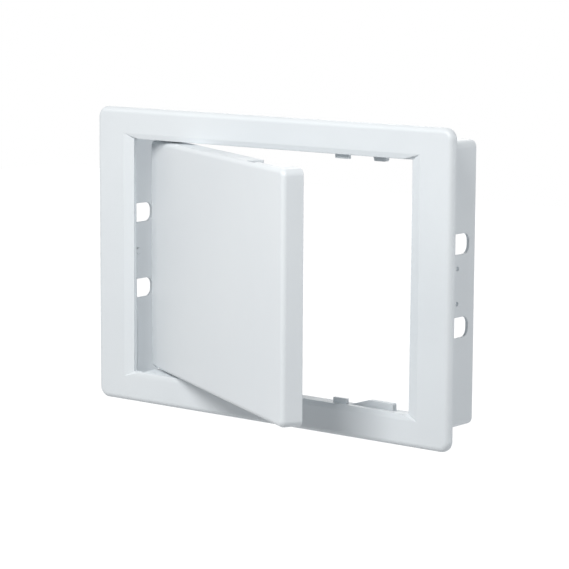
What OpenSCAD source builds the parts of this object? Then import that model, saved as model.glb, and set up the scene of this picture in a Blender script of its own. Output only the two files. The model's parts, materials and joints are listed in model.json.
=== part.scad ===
// Access panel: a flat border with a sleeve behind it, and a hinged leaf that stands ajar.
// X runs along the border, Z up it, and +Y goes into the wall. The origin is in the middle of
// the opening, on the plane of the wall's surface.

/* [Opening] */
// Width of the opening
opening_w = 250; // [200:1:400]
// Height of the opening
opening_h = 173; // [130:1:300]
// Depth of the bevel round the opening
bevel_depth = 2.6; // [1:0.1:3]
// Width of the bevel on the left and right
bevel_side = 8; // [3:0.5:12]
// Width of the bevel at the top and bottom
bevel_level = 4; // [2:0.5:5]

/* [Border] */
// Overlap of the border past the collar on the left and right
overlap_side = 14; // [9:0.5:30]
// Overlap of the border past the collar at the top and bottom
overlap_level = 11; // [9:0.5:30]
// Thickness of the border in front of the wall
border_t = 5.5; // [5:0.1:8]
// Radius of the border's outer corners
border_corner = 8; // [6:0.5:12]
// Radius of the border's rounded outer edge
border_edge = 4; // [2:0.1:4.5]
// Wall of the border's outer rim
rim_wall = 2.2; // [1.6:0.1:3]
// Skin of the border over the groove in its back
border_skin = 2.4; // [1.8:0.1:3.5]
// Thickness of the ribs across the groove
groove_rib = 1.8; // [1.2:0.1:3]
// Ribs along each long groove
ribs_long = 5; // [1:1:9]
// Ribs along each short groove
ribs_short = 3; // [1:1:7]

/* [Collar] */
// Land between the opening and the outside of the collar on the left and right
land_side = 20; // [16:0.5:40]
// Land between the opening and the outside of the collar at the top and bottom
land_level = 11.5; // [11:0.5:30]
// Depth of the collar behind the wall's surface
collar_d = 43.5; // [42:0.5:60]
// Wall of the collar
collar_wall = 2.2; // [1.6:0.1:3]
// Outer radius of the collar's corners
collar_corner = 5; // [3:0.5:10]
// Height of a slotted side panel above and below its slots
panel_margin = 11.5; // [6:0.5:20]
// Width of the fixing slots
slot_w = 14; // [8:0.5:18]
// Length of the fixing slots
slot_l = 24; // [18:0.5:26]
// Radius of the slots' corners
slot_corner = 5.5; // [1:0.5:7]
// Distance from the wall's surface to the middle of the slots
slot_y = 24.3; // [18:0.1:26]
// Distance between the two slots of a wall
slot_pitch = 57; // [46:1:90]
// Diameter of the small screw holes in the right wall
screw_d = 3; // [2.5:0.1:5]
// Distance from the wall's surface to the screw holes
screw_y = 23; // [10:0.5:28]
// Distance between the two screw holes
screw_pitch = 24; // [14:1:28]
// Diameter of the lug inside the left wall
lug_d = 5; // [3:0.5:7]
// Height of the lug
lug_h = 2; // [1:0.1:3]
// Distance from the wall's surface to the lug
lug_y = 19.5; // [12:0.5:30]

/* [Leaf] */
// Gap between the leaf and the opening's left and right edges
gap_side = 2; // [1:0.1:4]
// Gap between the leaf and the opening's top and bottom edges
gap_level = 1.5; // [1:0.1:3]
// Depth of the leaf's return walls
leaf_d = 15; // [12:0.5:18]
// Distance of the shut leaf's front behind the border's front
leaf_sunk = 2.5; // [0:0.1:4]
// Thickness of the leaf's front
leaf_skin = 2.5; // [1.6:0.1:3.5]
// Thickness of the return walls
return_wall = 2.2; // [1.6:0.1:3]
// Radius of the leaf's corners
leaf_corner = 5; // [4:0.5:8]
// Radius of the leaf's rounded front edge
leaf_edge = 3.5; // [1:0.1:4]
// Radius of the fillet inside the leaf's front edge
leaf_fillet = 1.5; // [0.5:0.1:2.5]
// How far the leaf stands open
door_angle = 28; // [0:0.5:90]

/* [Stiffener] */
// Thickness of the ribs on the back of the leaf
leaf_rib = 1.8; // [1.2:0.1:3]
// Height of the ribs on the back of the leaf
leaf_rib_h = 6; // [3:0.5:9]
// Upright ribs on the back of the leaf, past the one at the pins
ribs_upright = 4; // [1:1:7]
// Level ribs on the back of the leaf
ribs_level = 2; // [1:1:4]
// Clearance between the stiffener and the leaf's return walls
stiffener_gap = 0.3; // [0.2:0.05:1]
// Length of a boss round its pin
boss_l = 12; // [8:0.5:16]
// Wall of a boss round its pin
boss_wall = 3; // [2:0.1:3.5]

/* [Hinge] */
// Distance of the pins from the leaf's hinge edge
pin_inset = 32.5; // [20:0.5:40]
// Distance of the pins behind the leaf's front
pin_back = 9; // [7:0.5:10]
// Diameter of the pins
pin_d = 4; // [3:0.1:5]
// Length of a pin inside its boss
pin_in = 10; // [6:0.5:12]
// Length of a pin inside its block
pin_out = 6; // [4:0.5:7]
// Diameter of the pin's shoulder
shoulder_d = 8; // [7:0.5:10]
// Radial clearance of a pin in its block
pin_run = 0.05; // [0.02:0.01:0.1]
// Radial clearance of a pin in the leaf
pin_seat = 0.02; // [0.01:0.01:0.05]
// End float between a pin's shoulder and its block
pin_float = 0.3; // [0.2:0.05:0.6]
// Room past the end of a pin in its block
pin_room = 0.5; // [0.3:0.1:1]
// Length of a hinge block past the pin, towards the free edge
block_nose = 8; // [6:0.5:12]
// Length of a hinge block past the pin, towards the hinge edge
block_tail = 28; // [8:0.5:32]

/* [Stops and catches] */
// Distance of the stop tabs from the leaf's free edge
stop_inset = 59; // [58:1:100]
// Width of a stop tab
stop_w = 12; // [8:0.5:16]
// Thickness of a stop tab
stop_t = 2.5; // [1.8:0.1:4]
// How far a stop tab reaches past the opening's edge
stop_reach = 3.3; // [2:0.1:3.6]
// Depth of the gusset behind a stop tab
gusset_d = 9; // [4:0.5:12]
// Thickness of the gusset behind a stop tab
gusset_t = 2.5; // [1.5:0.1:4]
// Clearance between the shut leaf's front and a stop tab
stop_gap = 0.4; // [0.3:0.1:1]
// Clearance beside a stop tab in the leaf's notch
stop_side = 0.8; // [0.5:0.1:2.5]
// Distance of the lower catch's head from the leaf's free edge
catch_inset = 27; // [20:1:34]
// Length of the lower catch's flat head
head_l = 20.5; // [14:0.5:22]
// Length of the lower catch's ramp
ramp_l = 16.5; // [12:0.5:24]
// Distance of the upper catch's head from the leaf's free edge
catch_top_inset = 30; // [24:1:36]
// Length of the upper catch's flat head
head_top_l = 9.5; // [6:0.5:18]
// Length of the upper catch's ramp
ramp_top_l = 1.5; // [0.5:0.5:8]
// How far behind the opening's edge a ramp starts
ramp_drop = 1.3; // [0.5:0.1:3]
// Width of a catch
catch_w = 4.5; // [3:0.1:6]
// Distance from the wall's surface to a catch's front
catch_y = 4.2; // [3.5:0.1:6]
// How far a catch's head reaches past the opening's edge
catch_reach = 3.8; // [2:0.1:4.5]
// Chamfer at the end of a catch's head
catch_chamfer = 0.8; // [0.2:0.1:1.5]
// Clearance round a catch in the leaf's notch
catch_gap = 1.2; // [0.8:0.1:2]

/* [Hidden] */
$fn = 64;
white = [0.93, 0.935, 0.94];
pin_grey = [0.80, 0.81, 0.82];
// Overrun of a cut past the face it opens
cut = 1;
front_y = -border_t;
collar_w = opening_w + 2 * land_side;
collar_h = opening_h + 2 * land_level;
border_w = collar_w + 2 * overlap_side;
border_h = collar_h + 2 * overlap_level;
panel_h = slot_pitch + slot_w + 2 * panel_margin;
collar_in_w = collar_w - 2 * collar_wall;
collar_in_h = collar_h - 2 * collar_wall;
leaf_w = opening_w - 2 * gap_side;
leaf_h = opening_h - 2 * gap_level;
leaf_front = front_y + leaf_sunk;
leaf_back = leaf_front + leaf_d;
pin_x = -leaf_w / 2 + pin_inset;
pin_y = leaf_front + pin_back;
shoulder_t = gap_level - pin_float;
inner_w = leaf_w - 2 * return_wall;
inner_h = leaf_h - 2 * return_wall;
inner_corner = leaf_corner - return_wall;
inner_edge = min(leaf_fillet, inner_corner / 2);
skin_back = leaf_front + leaf_skin;
stiffener_w = inner_w - 2 * (inner_edge + stiffener_gap);
stiffener_h = inner_h - 2 * (inner_edge + stiffener_gap);
boss_d = pin_d + 2 * boss_wall;
boss_top = stiffener_h / 2;
pin_foot = boss_top - pin_in;
block_d = 3 * pin_y;
stop_x = leaf_w / 2 - stop_inset;
stop_y = max(0, skin_back + stop_gap);
catch_x = leaf_w / 2 - catch_inset;
catch_top_x = leaf_w / 2 - catch_top_inset;
catch_crest = opening_h / 2 - catch_reach;

// Places of a number of ribs spread evenly over a span about the middle
function spread(count, span) = [for (i = [1:count]) (i / (count + 1) - 0.5) * span];

// Quarter-rounded edge section: reach along X from the corner's centre, thickness along Y, front at Y = 0
module edge_section(reach, thick, round) {
    translate([0, round]) square([reach, thick - round]);
    square([reach - round, thick]);
    translate([reach - round, round]) intersection() {
        circle(round);
        translate([0, -round]) square(round);
    }
}

// Plate with round corners whose front edge is rounded all the way, front at Y = 0 and middle on the axis
module soft_plate(w, h, thick, corner, round) {
    in_w = w - 2 * corner;
    in_h = h - 2 * corner;
    translate([-in_w / 2, 0, -in_h / 2]) cube([in_w, thick, in_h]);
    for (side = [-1, 1]) {
        mirror([side < 0 ? 1 : 0, 0, 0])
            translate([in_w / 2, 0, -in_h / 2]) linear_extrude(in_h) edge_section(corner, thick, round);
        mirror([0, 0, side < 0 ? 1 : 0])
            translate([-in_w / 2, 0, in_h / 2]) rotate([0, -90, 0]) mirror([0, 0, 1]) linear_extrude(in_w)
                edge_section(corner, thick, round);
        for (level = [-1, 1])
            mirror([side < 0 ? 1 : 0, 0, 0]) mirror([0, 0, level < 0 ? 1 : 0])
                translate([in_w / 2, 0, in_h / 2]) rotate([-90, 0, 0]) rotate(-90)
                    rotate_extrude(angle = 90) edge_section(corner, thick, round);
    }
}

// Rectangle with round corners, standing in the XZ plane and extruded along +Y from Y = 0
module round_bar(w, h, depth, corner) {
    rotate([-90, 0, 0]) linear_extrude(depth) {
        square([w - 2 * corner, h], center = true);
        square([w, h - 2 * corner], center = true);
        for (x = [-1, 1], z = [-1, 1])
            translate([x * (w / 2 - corner), z * (h / 2 - corner)]) circle(corner);
    }
}

// Symmetric trapezium between two levels of Y, half as wide as given at each
module wedge(half_foot, half_mouth, foot, mouth) {
    polygon([[-half_foot, foot], [half_foot, foot], [half_mouth, mouth], [-half_mouth, mouth]]);
}

// Wedge-sided hole that widens towards the front
module bevel_cut() {
    top_w = opening_w / 2 + bevel_side;
    top_h = opening_h / 2 + bevel_level;
    grow_w = bevel_side / bevel_depth * cut;
    grow_h = bevel_level / bevel_depth * cut;
    foot = front_y + bevel_depth;
    mouth = front_y - cut;
    intersection() {
        translate([0, 0, -border_h]) linear_extrude(2 * border_h)
            wedge(opening_w / 2, top_w + grow_w, foot, mouth);
        rotate([0, -90, 0]) translate([0, 0, -border_w]) linear_extrude(2 * border_w)
            wedge(opening_h / 2, top_h + grow_h, foot, mouth);
    }
    translate([-opening_w / 2, foot - cut / 2, -opening_h / 2]) cube([opening_w, border_t, opening_h]);
}

// Groove in the back of the border, outside the collar, with its cross ribs left standing
module back_groove() {
    depth = border_t - border_skin;
    groove_w = border_w - 2 * rim_wall;
    groove_h = border_h - 2 * rim_wall;
    difference() {
        translate([0, -depth, 0]) round_bar(groove_w, groove_h, depth + cut, border_corner - rim_wall);
        translate([0, -depth - cut, 0]) round_bar(collar_w, collar_h, depth + 3 * cut, collar_corner);
        translate([0, -depth - cut, 0]) {
            for (x = spread(ribs_long, collar_w))
                translate([x - groove_rib / 2, 0, -border_h / 2]) cube([groove_rib, depth + cut, border_h]);
            for (z = spread(ribs_short, collar_h))
                translate([-border_w / 2, 0, z - groove_rib / 2]) cube([border_w, depth + cut, groove_rib]);
        }
    }
}

module face_frame() {
    color(white) difference() {
        translate([0, front_y, 0]) soft_plate(border_w, border_h, border_t, border_corner, border_edge);
        bevel_cut();
        back_groove();
    }
}

// Upper part of the collar: the top wall, its two corners and the side walls down to the slotted panels
module collar_channel() {
    color(white) difference() {
        round_bar(collar_w, collar_h, collar_d, collar_corner);
        translate([0, -cut, 0])
            round_bar(collar_in_w, collar_in_h, collar_d + 2 * cut, collar_corner - collar_wall);
        translate([-collar_w, -cut, -collar_h])
            cube([2 * collar_w, collar_d + 2 * cut, collar_h + panel_h / 2]);
    }
}

module collar_top() { collar_channel(); }
module collar_bottom() { lower() collar_channel(); }

// Slot with round corners along Y, standing across X
module side_slot() {
    round = min(slot_corner, slot_w / 2);
    rotate([0, 90, 0]) linear_extrude(collar_wall + 2 * cut) {
        square([slot_w, slot_l - 2 * round], center = true);
        square([slot_w - 2 * round, slot_l], center = true);
        for (side = [-1, 1], end = [-1, 1])
            translate([side * (slot_w / 2 - round), end * (slot_l / 2 - round)]) circle(round);
    }
}

// Slotted panel of a side wall, standing where the right one does
module side_panel() {
    color(white) translate([collar_in_w / 2, 0, 0]) difference() {
        translate([0, 0, -panel_h / 2]) cube([collar_wall, collar_d, panel_h]);
        for (level = [-1, 1])
            translate([-cut, slot_y, level * slot_pitch / 2]) side_slot();
    }
}

// The right panel has two screw holes between its slots
module collar_right() {
    color(white) difference() {
        side_panel();
        for (level = [-1, 1])
            translate([collar_in_w / 2 - cut, screw_y, level * screw_pitch / 2]) rotate([0, 90, 0])
                cylinder(d = screw_d, h = collar_wall + 2 * cut);
    }
}

module collar_left() { mirror([1, 0, 0]) side_panel(); }

module collar_lug() {
    color(white) translate([-collar_in_w / 2, lug_y, 0]) rotate([0, 90, 0]) cylinder(d = lug_d, h = lug_h);
}

// What is modelled for the upper side is mirrored for the lower side
module lower() {
    mirror([0, 0, 1]) children();
}

// Block with the pin's socket, its tail cored out from the back to an even wall
module hinge_block() {
    core = block_tail - boss_d / 2 - collar_wall;
    color(white) difference() {
        translate([pin_x - block_tail, 0, opening_h / 2])
            cube([block_tail + block_nose, block_d, (collar_in_h - opening_h) / 2]);
        translate([pin_x, pin_y, opening_h / 2 - cut])
            cylinder(d = pin_d + 2 * pin_run, h = cut + pin_out + pin_room);
        if (core > collar_wall)
            translate([pin_x - block_tail + collar_wall, collar_wall, opening_h / 2 + collar_wall])
                cube([core, block_d, (collar_in_h - opening_h) / 2]);
    }
}

module hinge_block_top() { hinge_block(); }
module hinge_block_bottom() { lower() hinge_block(); }

module stop_tab() {
    low = opening_h / 2 - stop_reach;
    high = collar_in_h / 2;
    back = stop_y + stop_t;
    color(white) {
        translate([stop_x - stop_w / 2, stop_y, low]) cube([stop_w, stop_t, high - low]);
        translate([stop_x - gusset_t / 2, 0, 0]) rotate([90, 0, 90]) linear_extrude(gusset_t)
            polygon([[back, low + stop_t], [back, high], [back + gusset_d, high]]);
    }
}

module stop_tab_top() { stop_tab(); }
module stop_tab_bottom() { lower() stop_tab(); }

// Side outline of a catch: a ramp up to a flat head, solid down to the collar
module catch_outline(middle, head, ramp) {
    wall = collar_in_h / 2;
    crest_start = middle - head / 2;
    tip = middle + head / 2;
    polygon([
        [crest_start - ramp, wall], [crest_start - ramp, opening_h / 2 + ramp_drop],
        [crest_start, catch_crest], [tip - catch_chamfer, catch_crest],
        [tip, catch_crest + catch_chamfer], [tip, wall]
    ]);
}

module catch(middle, head, ramp) {
    color(white) translate([0, catch_y + catch_w, 0]) rotate([90, 0, 0]) linear_extrude(catch_w)
        catch_outline(middle, head, ramp);
}

module catch_top() { catch(catch_top_x, head_top_l, ramp_top_l); }
module catch_bottom() { lower() catch(catch_x, head_l, ramp_l); }

// Turns what is modelled on the shut leaf to where the leaf stands
module ajar() {
    translate([pin_x, pin_y, 0]) rotate(-door_angle) translate([-pin_x, -pin_y, 0]) children();
}

// Clearance hole for a pin, from below its foot to above the leaf
module pin_bore() {
    translate([pin_x, pin_y, pin_foot]) cylinder(d = pin_d + 2 * pin_seat, h = leaf_h / 2 - pin_foot + cut);
}

// Recess in the back of a return, open to the back, over a length of the leaf's edge
module return_notch(start, end, front) {
    translate([start, front, leaf_h / 2 - return_wall - cut])
        cube([end - start, leaf_back - front + cut, return_wall + 2 * cut]);
}

// Recesses that let a stop tab and a catch in when the leaf is shut
module edge_notches() {
    stop_half = stop_w / 2 + stop_side;
    catch_half = head_l / 2 + catch_gap;
    return_notch(stop_x - stop_half, stop_x + stop_half, skin_back);
    return_notch(catch_x - catch_half - ramp_l, catch_x + catch_half, catch_y - catch_gap);
}

module door_panel() {
    color(white) ajar() difference() {
        translate([0, leaf_front, 0]) soft_plate(leaf_w, leaf_h, leaf_d, leaf_corner, leaf_edge);
        translate([0, skin_back, 0]) soft_plate(inner_w, inner_h, leaf_d, inner_corner, inner_edge);
        pin_bore();
        lower() pin_bore();
        edge_notches();
        lower() edge_notches();
    }
}

// Ribs on the back of the leaf: uprights from the pins to the free edge, and levels across them
module rib_grid() {
    bay = (stiffener_w / 2 - pin_x) / (ribs_upright + 1);
    for (i = [0:ribs_upright])
        translate([pin_x + i * bay - leaf_rib / 2, skin_back, -stiffener_h / 2])
            cube([leaf_rib, leaf_rib_h, stiffener_h]);
    for (z = spread(ribs_level, stiffener_h))
        translate([-stiffener_w / 2, skin_back, z - leaf_rib / 2])
            cube([stiffener_w, leaf_rib_h, leaf_rib]);
}

// Boss round a pin, standing on the back of the leaf's front
module pin_boss() {
    translate([pin_x, pin_y, boss_top - boss_l]) cylinder(d = boss_d, h = boss_l);
    translate([pin_x - boss_d / 2, skin_back, boss_top - boss_l]) cube([boss_d, pin_y - skin_back, boss_l]);
}

module door_stiffener() {
    color(white) ajar() difference() {
        union() {
            rib_grid();
            pin_boss();
            lower() pin_boss();
        }
        pin_bore();
        lower() pin_bore();
    }
}

module hinge_pin() {
    color(pin_grey) ajar() translate([pin_x, pin_y, 0]) {
        translate([0, 0, pin_foot]) cylinder(d = pin_d, h = opening_h / 2 + pin_out - pin_foot);
        translate([0, 0, leaf_h / 2]) cylinder(d = shoulder_d, h = shoulder_t);
    }
}

module hinge_pin_top() { hinge_pin(); }
module hinge_pin_bottom() { lower() hinge_pin(); }

face_frame();
collar_top();
collar_bottom();
collar_left();
collar_right();
collar_lug();
hinge_block_top();
hinge_block_bottom();
stop_tab_top();
stop_tab_bottom();
catch_top();
catch_bottom();
door_panel();
door_stiffener();
hinge_pin_top();
hinge_pin_bottom();
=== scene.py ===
import json
from math import cos, pi, radians, sin

import bmesh
import bpy
from mathutils import Matrix, Vector


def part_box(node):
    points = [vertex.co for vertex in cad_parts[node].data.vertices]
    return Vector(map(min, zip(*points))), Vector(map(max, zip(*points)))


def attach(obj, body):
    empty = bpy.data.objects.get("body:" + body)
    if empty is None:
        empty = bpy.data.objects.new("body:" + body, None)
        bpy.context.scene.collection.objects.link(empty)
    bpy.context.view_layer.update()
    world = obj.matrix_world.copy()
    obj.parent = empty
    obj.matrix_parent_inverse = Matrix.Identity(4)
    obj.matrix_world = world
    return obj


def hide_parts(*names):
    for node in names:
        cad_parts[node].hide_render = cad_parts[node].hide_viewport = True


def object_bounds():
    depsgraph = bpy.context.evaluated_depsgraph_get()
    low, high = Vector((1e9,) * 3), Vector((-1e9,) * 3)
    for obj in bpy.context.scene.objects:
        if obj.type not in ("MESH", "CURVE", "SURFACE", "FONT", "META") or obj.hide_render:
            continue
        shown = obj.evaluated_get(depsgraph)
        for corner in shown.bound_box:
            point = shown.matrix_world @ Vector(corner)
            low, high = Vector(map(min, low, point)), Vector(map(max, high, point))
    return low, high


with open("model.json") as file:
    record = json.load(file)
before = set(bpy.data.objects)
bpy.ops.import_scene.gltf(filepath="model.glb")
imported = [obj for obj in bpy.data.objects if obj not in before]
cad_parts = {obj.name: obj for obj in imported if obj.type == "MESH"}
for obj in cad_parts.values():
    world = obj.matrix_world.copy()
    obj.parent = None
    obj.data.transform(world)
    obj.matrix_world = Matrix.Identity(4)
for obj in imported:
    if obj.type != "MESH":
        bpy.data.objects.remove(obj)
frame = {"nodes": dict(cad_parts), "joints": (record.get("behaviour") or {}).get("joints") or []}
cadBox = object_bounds()
hair = 0.00001  # a length that counts as nothing
over = 0.001  # how far a cutter runs past the face it opens
print("panel loaded:", len(frame["nodes"]), "nodes")

# camera, where the photograph was taken from
viewPoint = {
    "target": (0.01435, 0.0, -0.00851), "away": 1.6444, "yaw": 38.55, "pitch": 8.33, "roll": 0.29,
    "lens": 148.25,
}


def placeCamera(spec):
    yaw, pitch = radians(spec["yaw"]), radians(spec["pitch"])
    back = Vector((sin(yaw) * cos(pitch), -cos(yaw) * cos(pitch), sin(pitch)))
    bpy.ops.object.camera_add(location=Vector(spec["target"]) + back * spec["away"])
    camera = bpy.context.object
    camera.rotation_euler = (radians(90) - pitch, 0.0, yaw)
    camera.rotation_euler.rotate_axis("Z", radians(spec["roll"]))
    camera.data.lens = spec["lens"]
    bpy.context.scene.camera = camera


placeCamera(viewPoint)
print("camera placed")

# plastics: one moulded look, in three whites
mouldedLook = {
    "ior": 1.49, "noiseLow": 0.3, "noiseHigh": 0.7,  # the span of the noise that is used
    "cloudDetail": 3.0, "smearDetail": 5.0, "grainDetail": 2.0,
}
waveRate = 20  # radians that a wave texture of scale 1 runs through in one metre
ribBay = 0.04192  # from one upright rib of the door to the next, counted from the pins
ribRow = 0.054  # from one level rib to the next
swing = frame["joints"][0]
pivot = Vector(swing["pos_m"])
openAngle = -radians(swing["range_deg"][0])  # how far the door stands open


def newTree(owner):
    owner.use_nodes = True
    owner.node_tree.nodes.clear()
    return owner.node_tree.nodes, owner.node_tree.links


def noiseNode(nodes, links, place, scale, detail):
    noise = nodes.new("ShaderNodeTexNoise")
    noise.inputs["Scale"].default_value = scale
    noise.inputs["Detail"].default_value = detail
    links.new(place.outputs["Object"], noise.inputs["Vector"])
    return noise.outputs["Fac"]


def sinkBand(nodes, links, place, direction, pitch, phase, share):  # dips along evenly spaced lines
    wave = nodes.new("ShaderNodeTexWave")
    wave.bands_direction = direction
    wave.inputs["Scale"].default_value = 2 * pi / (waveRate * pitch)
    wave.inputs["Phase Offset"].default_value = phase
    links.new(place.outputs["Vector"], wave.inputs["Vector"])
    flat = nodes.new("ShaderNodeMapRange")
    flat.interpolation_type = "SMOOTHSTEP"
    flat.inputs["From Max"].default_value = share
    links.new(wave.outputs["Fac"], flat.inputs["Value"])
    return flat.outputs["Result"]


def sinkMarks(nodes, links, coords, sinks):  # the plastic draws in a little in front of a rib
    place = nodes.new("ShaderNodeMapping")
    turn = Matrix.Rotation(openAngle, 3, "Z")
    place.inputs["Rotation"].default_value = (0.0, 0.0, openAngle)
    place.inputs["Location"].default_value = -(turn @ pivot)
    links.new(coords.outputs["Object"], place.inputs["Vector"])
    both = nodes.new("ShaderNodeMath")
    both.operation = "MULTIPLY"
    links.new(sinkBand(nodes, links, place, "X", ribBay, 0.0, sinks["share"]), both.inputs[0])
    links.new(sinkBand(nodes, links, place, "Z", ribRow, pi, sinks["share"]), both.inputs[1])
    dip = nodes.new("ShaderNodeBump")
    dip.inputs["Distance"].default_value = sinks["deep"]
    links.new(both.outputs[0], dip.inputs["Height"])
    return dip.outputs["Normal"]


def mouldedPlastic(finish):  # a fine eroded grain, faint flow clouds and a gloss that varies a little
    mat = bpy.data.materials.new(finish["name"])
    nodes, links = newTree(mat)
    place = nodes.new("ShaderNodeTexCoord")
    shader = nodes.new("ShaderNodeBsdfPrincipled")
    output = nodes.new("ShaderNodeOutputMaterial")
    links.new(shader.outputs["BSDF"], output.inputs["Surface"])
    shader.inputs["IOR"].default_value = mouldedLook["ior"]

    tint = nodes.new("ShaderNodeValToRGB")
    tint.color_ramp.elements[0].position = mouldedLook["noiseLow"]
    tint.color_ramp.elements[0].color = (*finish["shade"], 1.0)
    tint.color_ramp.elements[1].position = mouldedLook["noiseHigh"]
    tint.color_ramp.elements[1].color = (*finish["colour"], 1.0)
    clouds = noiseNode(nodes, links, place, finish["cloudScale"], mouldedLook["cloudDetail"])
    links.new(clouds, tint.inputs["Fac"])
    links.new(tint.outputs["Color"], shader.inputs["Base Color"])

    gloss = nodes.new("ShaderNodeMapRange")
    gloss.inputs["From Min"].default_value = mouldedLook["noiseLow"]
    gloss.inputs["From Max"].default_value = mouldedLook["noiseHigh"]
    gloss.inputs["To Min"].default_value = finish["roughLow"]
    gloss.inputs["To Max"].default_value = finish["roughHigh"]
    smears = noiseNode(nodes, links, place, finish["smearScale"], mouldedLook["smearDetail"])
    links.new(smears, gloss.inputs["Value"])
    links.new(gloss.outputs["Result"], shader.inputs["Roughness"])

    bump = nodes.new("ShaderNodeBump")
    bump.inputs["Strength"].default_value = finish["grainStrength"]
    bump.inputs["Distance"].default_value = finish["grainDepth"]
    grain = noiseNode(nodes, links, place, finish["grainScale"], mouldedLook["grainDetail"])
    links.new(grain, bump.inputs["Height"])
    if "sinks" in finish:
        links.new(sinkMarks(nodes, links, place, finish["sinks"]), bump.inputs["Normal"])
    links.new(bump.outputs["Normal"], shader.inputs["Normal"])
    return mat


frameWhite = mouldedPlastic({
    "name": "frame_white_plastic", "colour": (0.785, 0.825, 0.85), "shade": (0.76, 0.80, 0.828),
    "cloudScale": 14.0, "smearScale": 30.0, "roughLow": 0.36, "roughHigh": 0.48,
    "grainScale": 1700.0, "grainStrength": 0.10, "grainDepth": 0.0002,
})
doorWhite = mouldedPlastic({
    "name": "door_white_plastic", "colour": (0.795, 0.835, 0.86), "shade": (0.77, 0.81, 0.84),
    "cloudScale": 11.0, "smearScale": 24.0, "roughLow": 0.32, "roughHigh": 0.44,
    "grainScale": 1900.0, "grainStrength": 0.08, "grainDepth": 0.0002,
    "sinks": {"share": 0.05, "deep": 0.00004},  # the share of the wave that dips, and how deep
})
pinWhite = mouldedPlastic({
    "name": "pin_white_plastic", "colour": (0.74, 0.75, 0.755), "shade": (0.70, 0.71, 0.72),
    "cloudScale": 60.0, "smearScale": 120.0, "roughLow": 0.24, "roughHigh": 0.34,
    "grainScale": 2600.0, "grainStrength": 0.05, "grainDepth": 0.0001,
})
print("plastics mixed")

# modelling tools, with the ways a peg can lie
rounding = {"corner": 10, "edge": 8, "soft": 3, "peg": 48, "smooth": 40}  # steps, then sides, then degrees
alongX = (0.0, radians(90), 0.0)
alongY = (radians(90), 0.0, 0.0)
alongZ = (0.0, 0.0, 0.0)


def selectOnly(piece):
    bpy.ops.object.select_all(action="DESELECT")
    piece.select_set(True)
    bpy.context.view_layer.objects.active = piece


def pickEdges(piece, wanted):  # in edit mode, by the edge's two ends
    bpy.ops.mesh.select_mode(type="EDGE")
    bpy.ops.mesh.select_all(action="DESELECT")
    shape = bmesh.from_edit_mesh(piece.data)
    for edge in shape.edges:
        edge.select_set(wanted(edge.verts[0].co, edge.verts[1].co))
    bmesh.update_edit_mesh(piece.data)


def addBlock(name, low, high):
    low, high = Vector(low), Vector(high)
    bpy.ops.object.select_all(action="DESELECT")
    bpy.ops.mesh.primitive_cube_add(size=1.0, location=(low + high) / 2, scale=high - low)
    block = bpy.context.object
    block.name = name
    bpy.ops.object.transform_apply(location=True, rotation=True, scale=True)
    return block


def addSlab(name, low, high, corner, edge=0.0):  # round corners, and a round front edge where one is given
    slab = addBlock(name, low, high)
    bpy.ops.object.mode_set(mode="EDIT")
    pickEdges(slab, lambda a, b: abs(a.y - b.y) > hair)
    bpy.ops.mesh.bevel(offset=corner, segments=rounding["corner"], affect="EDGES")
    if edge:
        pickEdges(slab, lambda a, b: max(a.y, b.y) < low[1] + hair)
        bpy.ops.mesh.bevel(offset=edge, segments=rounding["edge"], affect="EDGES")
    bpy.ops.object.mode_set(mode="OBJECT")
    return slab


def addPeg(name, middle, radius, length, turn):
    bpy.ops.object.select_all(action="DESELECT")
    bpy.ops.mesh.primitive_cylinder_add(vertices=rounding["peg"], radius=radius, depth=length,
                                        location=middle, rotation=turn)
    peg = bpy.context.object
    peg.name = name
    bpy.ops.object.transform_apply(location=True, rotation=True, scale=True)
    return peg


def carve(piece, cutter, way="DIFFERENCE"):
    selectOnly(piece)
    cut = piece.modifiers.new("cut", "BOOLEAN")
    cut.operation = way
    cut.solver = "EXACT"
    cut.object = cutter
    bpy.ops.object.modifier_apply(modifier=cut.name)
    bpy.data.objects.remove(cutter, do_unlink=True)


def dressPiece(piece, spec, plastic):  # soft edges, even shading, finish and body
    selectOnly(piece)
    edges = piece.modifiers.new("soft edges", "BEVEL")
    edges.width = spec["soft"]
    edges.segments = rounding["soft"]
    edges.limit_method = "ANGLE"
    edges.angle_limit = radians(spec["crease"])  # only sharper edges than this go soft
    edges.use_clamp_overlap = False
    edges.miter_outer = "MITER_ARC"
    bpy.ops.object.modifier_apply(modifier=edges.name)
    bpy.ops.object.shade_smooth_by_angle(angle=radians(rounding["smooth"]))
    shine = piece.modifiers.new("even shading", "WEIGHTED_NORMAL")
    shine.keep_sharp = True
    bpy.ops.object.modifier_apply(modifier=shine.name)
    piece.data.materials.clear()
    piece.data.materials.append(plastic)
    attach(piece, spec["body"])
    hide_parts(*spec["nodes"])
    return piece


def spread(count, span):  # places of ribs spread evenly about the middle
    return [((i + 1) / (count + 1) - 0.5) * span for i in range(count)]


def markEjector(piece, middle, spec):  # the round dent that an ejector pin leaves in a back face
    carve(piece, addPeg("ejector", middle, spec["ejectorRadius"], 2 * spec["ejectorDeep"], alongY))


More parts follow.
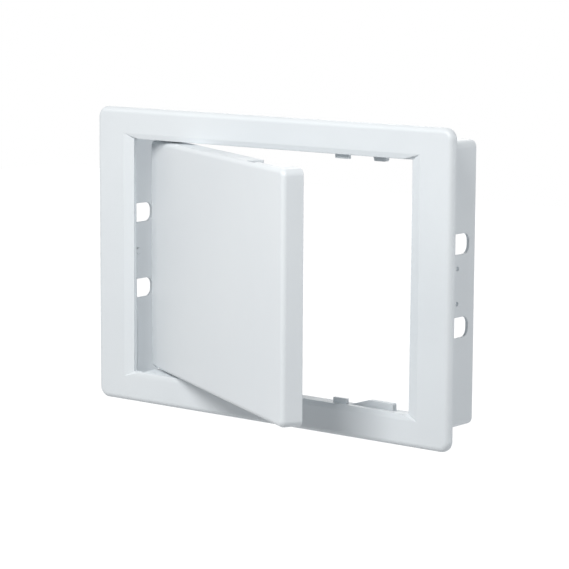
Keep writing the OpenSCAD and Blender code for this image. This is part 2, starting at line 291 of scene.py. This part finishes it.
# border: the flat frame that lies on the wall, with a bevel round its opening and a ribbed groove behind
borderSpec = {
    "nodes": ("face_frame",), "body": "frame", "slot": "frame_white", "soft": 0.0004, "crease": 60,
    "corner": 0.008, "edge": 0.004, "openWide": 0.250, "openTall": 0.173,
    "bevelSide": 0.008, "bevelDeep": 0.0026,  # left and right of the opening
    "bevelLevel": 0.004, "levelDeep": 0.0008,  # above and below it
    "facet": 0.0072, "creaseSteps": 2,  # in each corner of the bevel, and along its side creases
    "shyFoot": 0.003, "shyCrease": 0.001,  # how far the level cutter stays inside the side ones
    "rim": 0.0022, "skin": 0.0024, "rib": 0.0018, "ribsLong": 5, "ribsShort": 3,
    "ejectorRadius": 0.0025, "ejectorDeep": 0.0002, "ejectorRow": (-0.055, 0.0, 0.055),
}
sleeveSpec = {
    "nodes": ("collar_top", "collar_bottom", "collar_left", "collar_right"), "body": "frame",
    "slot": "frame_white", "soft": 0.0004, "crease": 38, "corner": 0.005, "wall": 0.0022,
    "slotWide": 0.014, "slotLong": 0.024, "slotCorner": 0.0055, "slotSteps": 12,
    "slotDeep": 0.0243, "slotPitch": 0.057, "holeRadius": 0.0015, "holeDeep": 0.023, "holePitch": 0.024,
}
sleeveLow = Vector((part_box("collar_left")[0].x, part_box("collar_top")[0].y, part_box("collar_bottom")[0].z))
sleeveHigh = Vector((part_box("collar_right")[1].x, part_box("collar_top")[1].y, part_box("collar_top")[1].z))
borderLow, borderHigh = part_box("face_frame")
front, rear = borderLow.y, borderHigh.y
halfWide, halfTall = borderSpec["openWide"] / 2, borderSpec["openTall"] / 2  # of the opening
sideCrease = halfWide + borderSpec["bevelSide"]
levelCrease = halfTall + borderSpec["bevelLevel"]


def levelMouth(spec):  # cuts the bevel above and below, and stays clear of the sides' own cutters
    reach = 1 + over / spec["bevelDeep"]  # the bevel runs on past the front
    footTall = halfTall + spec["bevelLevel"] * (1 - spec["bevelDeep"] / spec["levelDeep"])  # on to its foot
    footWide = halfWide - spec["shyFoot"]
    mouth = addBlock("mouth", (-footWide, front - over, -footTall),
                     (footWide, front + spec["bevelDeep"], footTall))
    bpy.ops.object.mode_set(mode="EDIT")
    pickEdges(mouth, lambda a, b: max(a.y, b.y) < front)
    wider = 1 + reach * (sideCrease - spec["shyCrease"] - footWide) / footWide
    taller = 1 + reach * (levelCrease - footTall) / footTall
    bpy.ops.transform.resize(value=(wider, 1.0, taller), center_override=(0.0, front, 0.0))
    bpy.ops.object.mode_set(mode="OBJECT")
    return mouth


def sideMouth(spec, side):  # cuts a side's bevel, which stays deep up to a small facet in each corner
    drop = spec["bevelDeep"] - spec["levelDeep"]
    runIn = spec["bevelLevel"] / (spec["bevelSide"] + spec["facet"] * spec["bevelDeep"] / drop)
    runDown = spec["facet"] * runIn / drop
    ends = sorted((side * (halfWide - 2 * spec["facet"]), side * sideCrease))
    wedge = addBlock("side_mouth", (ends[0], front - over, -halfTall),
                     (ends[1], front + spec["bevelDeep"], halfTall))
    bpy.ops.object.mode_set(mode="EDIT")
    shape = bmesh.from_edit_mesh(wedge.data)
    for corner in shape.verts:
        away = sideCrease - abs(corner.co.x)
        if corner.co.y > front:
            corner.co.y = front + away * spec["bevelDeep"] / spec["bevelSide"]
        tall = levelCrease - runIn * away - runDown * (corner.co.y - front)
        corner.co.z = tall if corner.co.z > 0 else -tall
    bmesh.update_edit_mesh(wedge.data)
    bpy.ops.object.mode_set(mode="OBJECT")
    return wedge


def ribbedGroove(spec):  # cuts the back outside the sleeve, but for the rim and the ribs
    deep, pastRear = front + spec["skin"], rear + 2 * over
    inset = Vector((spec["rim"], 0.0, spec["rim"]))
    groove = addSlab("groove", Vector((borderLow.x, deep, borderLow.z)) + inset,
                     Vector((borderHigh.x, rear + over, borderHigh.z)) - inset, spec["corner"] - spec["rim"])
    carve(groove, addSlab("land", (sleeveLow.x, deep - over, sleeveLow.z),
                          (sleeveHigh.x, pastRear, sleeveHigh.z), sleeveSpec["corner"]))
    halfRib = spec["rib"] / 2
    for x in spread(spec["ribsLong"], sleeveHigh.x - sleeveLow.x):
        carve(groove, addBlock("rib", (x - halfRib, deep - over, borderLow.z),
                               (x + halfRib, pastRear, borderHigh.z)))
    for z in spread(spec["ribsShort"], sleeveHigh.z - sleeveLow.z):
        carve(groove, addBlock("rib", (borderLow.x, deep - over, z - halfRib),
                               (borderHigh.x, pastRear, z + halfRib)))
    return groove


def modelBorder(spec):
    border = addSlab("border", borderLow, borderHigh, spec["corner"], spec["edge"])
    carve(border, addBlock("opening", (-halfWide, front - over, -halfTall),
                           (halfWide, rear + over, halfTall)))
    carve(border, levelMouth(spec))
    for side in (-1, 1):
        carve(border, sideMouth(spec, side))
    selectOnly(border)
    bpy.ops.object.mode_set(mode="EDIT")
    bpy.ops.mesh.select_all(action="SELECT")
    bpy.ops.mesh.remove_doubles(threshold=hair)
    pickEdges(border, lambda a, b: abs(a.x - b.x) < hair and abs(abs(a.x) - sideCrease) < hair)
    bpy.ops.mesh.bevel(offset=spec["soft"], segments=spec["creaseSteps"], affect="EDGES")
    bpy.ops.object.mode_set(mode="OBJECT")
    carve(border, ribbedGroove(spec))
    across = (halfWide + sleeveHigh.x - sleeveSpec["wall"]) / 2  # middle of the land inside the sleeve
    for x in (-across, across):
        for z in spec["ejectorRow"]:
            markEjector(border, Vector((x, rear, z)), spec)
    return border


dressPiece(modelBorder(borderSpec), borderSpec, frameWhite)
print("border modelled")


# sleeve: the collar that goes into the cut-out, with two slots in each side and screw holes in the right one
def modelSleeve(spec):
    sleeve = addSlab("sleeve", sleeveLow, sleeveHigh, spec["corner"])
    wall = Vector((spec["wall"], 0.0, spec["wall"]))
    past = Vector((0.0, over, 0.0))
    carve(sleeve, addSlab("inside", sleeveLow + wall - past, sleeveHigh - wall + past,
                          spec["corner"] - spec["wall"]))
    halfSlotLong, halfSlotWide = spec["slotLong"] / 2, spec["slotWide"] / 2
    for z in (-spec["slotPitch"] / 2, spec["slotPitch"] / 2):
        slot = addBlock("slot", (sleeveLow.x - over, spec["slotDeep"] - halfSlotLong, z - halfSlotWide),
                        (sleeveHigh.x + over, spec["slotDeep"] + halfSlotLong, z + halfSlotWide))
        bpy.ops.object.mode_set(mode="EDIT")
        pickEdges(slot, lambda a, b: abs(a.x - b.x) > hair)
        bpy.ops.mesh.bevel(offset=spec["slotCorner"], segments=spec["slotSteps"], affect="EDGES")
        bpy.ops.object.mode_set(mode="OBJECT")
        carve(sleeve, slot)
    for z in (-spec["holePitch"] / 2, spec["holePitch"] / 2):
        middle = (sleeveHigh.x, spec["holeDeep"], z)
        carve(sleeve, addPeg("hole", middle, spec["holeRadius"], 4 * spec["wall"], alongX))
    return sleeve


dressPiece(modelSleeve(sleeveSpec), sleeveSpec, frameWhite)
print("sleeve modelled")

# fittings: the small mouldings keep the solid's own form and get soft edges
copying = {"weld": 0.000002, "flat": 1, "anyShape": 180}  # metres, then degrees


def softCopy(spec, plastic):
    source = frame["nodes"][spec["nodes"][0]]
    piece = bpy.data.objects.new(spec["name"], source.data.copy())
    bpy.context.scene.collection.objects.link(piece)
    selectOnly(piece)
    bpy.ops.object.mode_set(mode="EDIT")
    bpy.ops.mesh.select_all(action="SELECT")
    bpy.ops.mesh.remove_doubles(threshold=copying["weld"])
    bpy.ops.mesh.tris_convert_to_quads(face_threshold=radians(copying["flat"]),
                                       shape_threshold=radians(copying["anyShape"]))
    bpy.ops.object.mode_set(mode="OBJECT")
    return dressPiece(piece, spec, plastic)


for part in ("collar_lug", "hinge_block_top", "hinge_block_bottom", "stop_tab_top", "stop_tab_bottom",
             "catch_top", "catch_bottom"):
    softCopy({"nodes": (part,), "name": part + "_soft", "body": "frame", "slot": "frame_white",
              "soft": 0.0003, "crease": 38}, frameWhite)
print("frame fittings finished")

# leaf: the door's tray, modelled shut and then turned about its pins to where it stands
leafSpec = {
    "nodes": ("door_panel",), "body": "door", "slot": "door_white", "soft": 0.0004, "crease": 38,
    "wide": 0.246, "deep": 0.015, "pinInset": 0.0325, "pinBack": 0.009, "corner": 0.005, "edge": 0.0035,
    "skin": 0.0025, "wall": 0.0022, "fillet": 0.0014, "pinRadius": 0.00202,
    "notches": ((0.0572, 0.0708, 0.0125), (0.06805, 0.10745, 0.0090)),  # from, to, how deep
    "bays": 5, "ejectorRadius": 0.003, "ejectorDeep": 0.0002, "ejectorRow": (-ribRow, 0.0, ribRow),
    "gateBay": 2.2, "gateRadius": 0.002, "gateHigh": 0.001,
}


def modelLeaf(spec):
    bottom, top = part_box("door_panel")[0].z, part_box("door_panel")[1].z
    left, face = pivot.x - spec["pinInset"], pivot.y - spec["pinBack"]
    right, back = left + spec["wide"], face + spec["deep"]
    wall, inside = spec["wall"], face + spec["skin"]
    leaf = addSlab("leaf", (left, face, bottom), (right, back, top), spec["corner"], spec["edge"])
    carve(leaf, addSlab("hollow", (left + wall, inside, bottom + wall),
                        (right - wall, back + over, top - wall), spec["corner"] - wall, spec["fillet"]))
    for edge in (top, bottom):
        for start, end, deep in spec["notches"]:
            carve(leaf, addBlock("notch", (start, back - deep, edge - wall - over),
                                 (end, back + over, edge + wall + over)))
        carve(leaf, addPeg("pin_hole", (pivot.x, pivot.y, edge), spec["pinRadius"], 4 * wall, alongZ))
    for column in range(spec["bays"]):
        for z in spec["ejectorRow"]:
            markEjector(leaf, Vector((pivot.x + (column + 0.5) * ribBay, inside, z)), spec)
    gatePlace = (pivot.x + spec["gateBay"] * ribBay, inside, 0.0)
    carve(leaf, addPeg("gate", gatePlace, spec["gateRadius"], 2 * spec["gateHigh"], alongY), "UNION")
    bpy.context.scene.cursor.location = pivot
    selectOnly(leaf)
    bpy.ops.object.origin_set(type="ORIGIN_CURSOR")
    leaf.rotation_euler.z = -openAngle
    bpy.ops.object.transform_apply(location=True, rotation=True, scale=True)
    return leaf


dressPiece(modelLeaf(leafSpec), leafSpec, doorWhite)
softCopy({"nodes": ("door_stiffener",), "name": "leaf_ribs", "body": "door", "slot": "door_white",
          "soft": 0.00025, "crease": 38}, doorWhite)
for part in ("hinge_pin_top", "hinge_pin_bottom"):
    softCopy({"nodes": (part,), "name": part + "_soft", "body": "door", "slot": "pin_white",
              "soft": 0.0004, "crease": 38}, pinWhite)
print("door modelled")

# studio: a backdrop that the camera sees as white, a grey sky that lights, and four soft lamps
studio = {
    "ambient": 0.22, "ambientColour": (0.96, 0.98, 1.0), "white": (1.0, 1.0, 1.0, 1.0),
    "floorDrop": 0.75, "floorSize": 14.0, "floorColour": (0.82, 0.83, 0.84, 1.0),
    "fadeFrom": 0.8, "fadeTo": 2.4, "liftNear": 0.45, "liftFar": 0.9,
}
warmWhite, coolWhite = (1.0, 0.99, 0.98), (0.96, 0.98, 1.0)
lamps = {
    "key_light": {"place": (0.24, -1.1, 0.88), "size": 0.6, "power": 16.6, "colour": warmWhite},
    "left_light": {"place": (-1.3, -1.1, 0.9), "size": 1.0, "power": 4.5, "colour": warmWhite},
    "back_light": {"place": (-0.9, 1.6, 0.9), "size": 1.2, "power": 6.0, "colour": warmWhite},
    "rim_light": {"place": (1.6, 1.2, 0.2), "size": 1.2, "power": 12.0, "colour": coolWhite},
}


def seenDirectly(nodes, links):  # 1 for what the camera sees, also by reflection or through glass
    path = nodes.new("ShaderNodeLightPath")
    either = nodes.new("ShaderNodeMath")
    either.operation = "MAXIMUM"
    links.new(path.outputs["Is Camera Ray"], either.inputs[0])
    links.new(path.outputs["Is Glossy Ray"], either.inputs[1])
    also = nodes.new("ShaderNodeMath")
    also.operation = "MAXIMUM"
    links.new(either.outputs[0], also.inputs[0])
    links.new(path.outputs["Is Transmission Ray"], also.inputs[1])
    return also.outputs[0]


def makeSky(spec):
    world = bpy.data.worlds.new("studio_sky")
    bpy.context.scene.world = world
    nodes, links = newTree(world)
    light = nodes.new("ShaderNodeBackground")
    light.inputs["Color"].default_value = (*spec["ambientColour"], 1.0)
    light.inputs["Strength"].default_value = spec["ambient"]
    white = nodes.new("ShaderNodeBackground")
    white.inputs["Color"].default_value = spec["white"]
    mix = nodes.new("ShaderNodeMixShader")
    output = nodes.new("ShaderNodeOutputWorld")
    links.new(seenDirectly(nodes, links), mix.inputs["Fac"])
    links.new(light.outputs["Background"], mix.inputs[1])
    links.new(white.outputs["Background"], mix.inputs[2])
    links.new(mix.outputs["Shader"], output.inputs["Surface"])


def makeFloor(spec):
    floorLevel = cadBox[0].z - spec["floorDrop"]
    bpy.ops.mesh.primitive_plane_add(size=spec["floorSize"], location=(0.0, 0.0, floorLevel))
    floor = bpy.context.object
    floor.name = "studio_floor"
    mat = bpy.data.materials.new("pale_floor")
    nodes, links = newTree(mat)
    paint = nodes.new("ShaderNodeBsdfDiffuse")
    paint.inputs["Color"].default_value = spec["floorColour"]
    place = nodes.new("ShaderNodeTexCoord")
    away = nodes.new("ShaderNodeVectorMath")
    away.operation = "LENGTH"
    links.new(place.outputs["Object"], away.inputs[0])
    fade = nodes.new("ShaderNodeMapRange")  # the lamps light the middle, so it needs less lift to be white
    fade.inputs["From Min"].default_value = spec["fadeFrom"]
    fade.inputs["From Max"].default_value = spec["fadeTo"]
    fade.inputs["To Min"].default_value = spec["liftNear"]
    fade.inputs["To Max"].default_value = spec["liftFar"]
    links.new(away.outputs["Value"], fade.inputs["Value"])
    shown = nodes.new("ShaderNodeMath")
    shown.operation = "MULTIPLY"
    links.new(fade.outputs["Result"], shown.inputs[0])
    links.new(seenDirectly(nodes, links), shown.inputs[1])
    lift = nodes.new("ShaderNodeEmission")
    lift.inputs["Color"].default_value = spec["white"]
    links.new(shown.outputs[0], lift.inputs["Strength"])
    both = nodes.new("ShaderNodeAddShader")
    output = nodes.new("ShaderNodeOutputMaterial")
    links.new(paint.outputs["BSDF"], both.inputs[0])
    links.new(lift.outputs["Emission"], both.inputs[1])
    links.new(both.outputs["Shader"], output.inputs["Surface"])
    floor.data.materials.append(mat)


def softLight(name, spec):  # a square lamp that points at the middle of the opening
    bpy.ops.object.light_add(type="AREA", location=spec["place"])
    lamp = bpy.context.object
    lamp.name = name
    lamp.data.size = spec["size"]
    lamp.data.energy = spec["power"]
    lamp.data.color = spec["colour"]
    lamp.rotation_euler = (-Vector(spec["place"])).to_track_quat("-Z", "Y").to_euler()


makeSky(studio)
makeFloor(studio)
for lampName, lampSpec in lamps.items():
    softLight(lampName, lampSpec)
print("studio lit")

bpy.context.scene.view_settings.view_transform = "Standard"
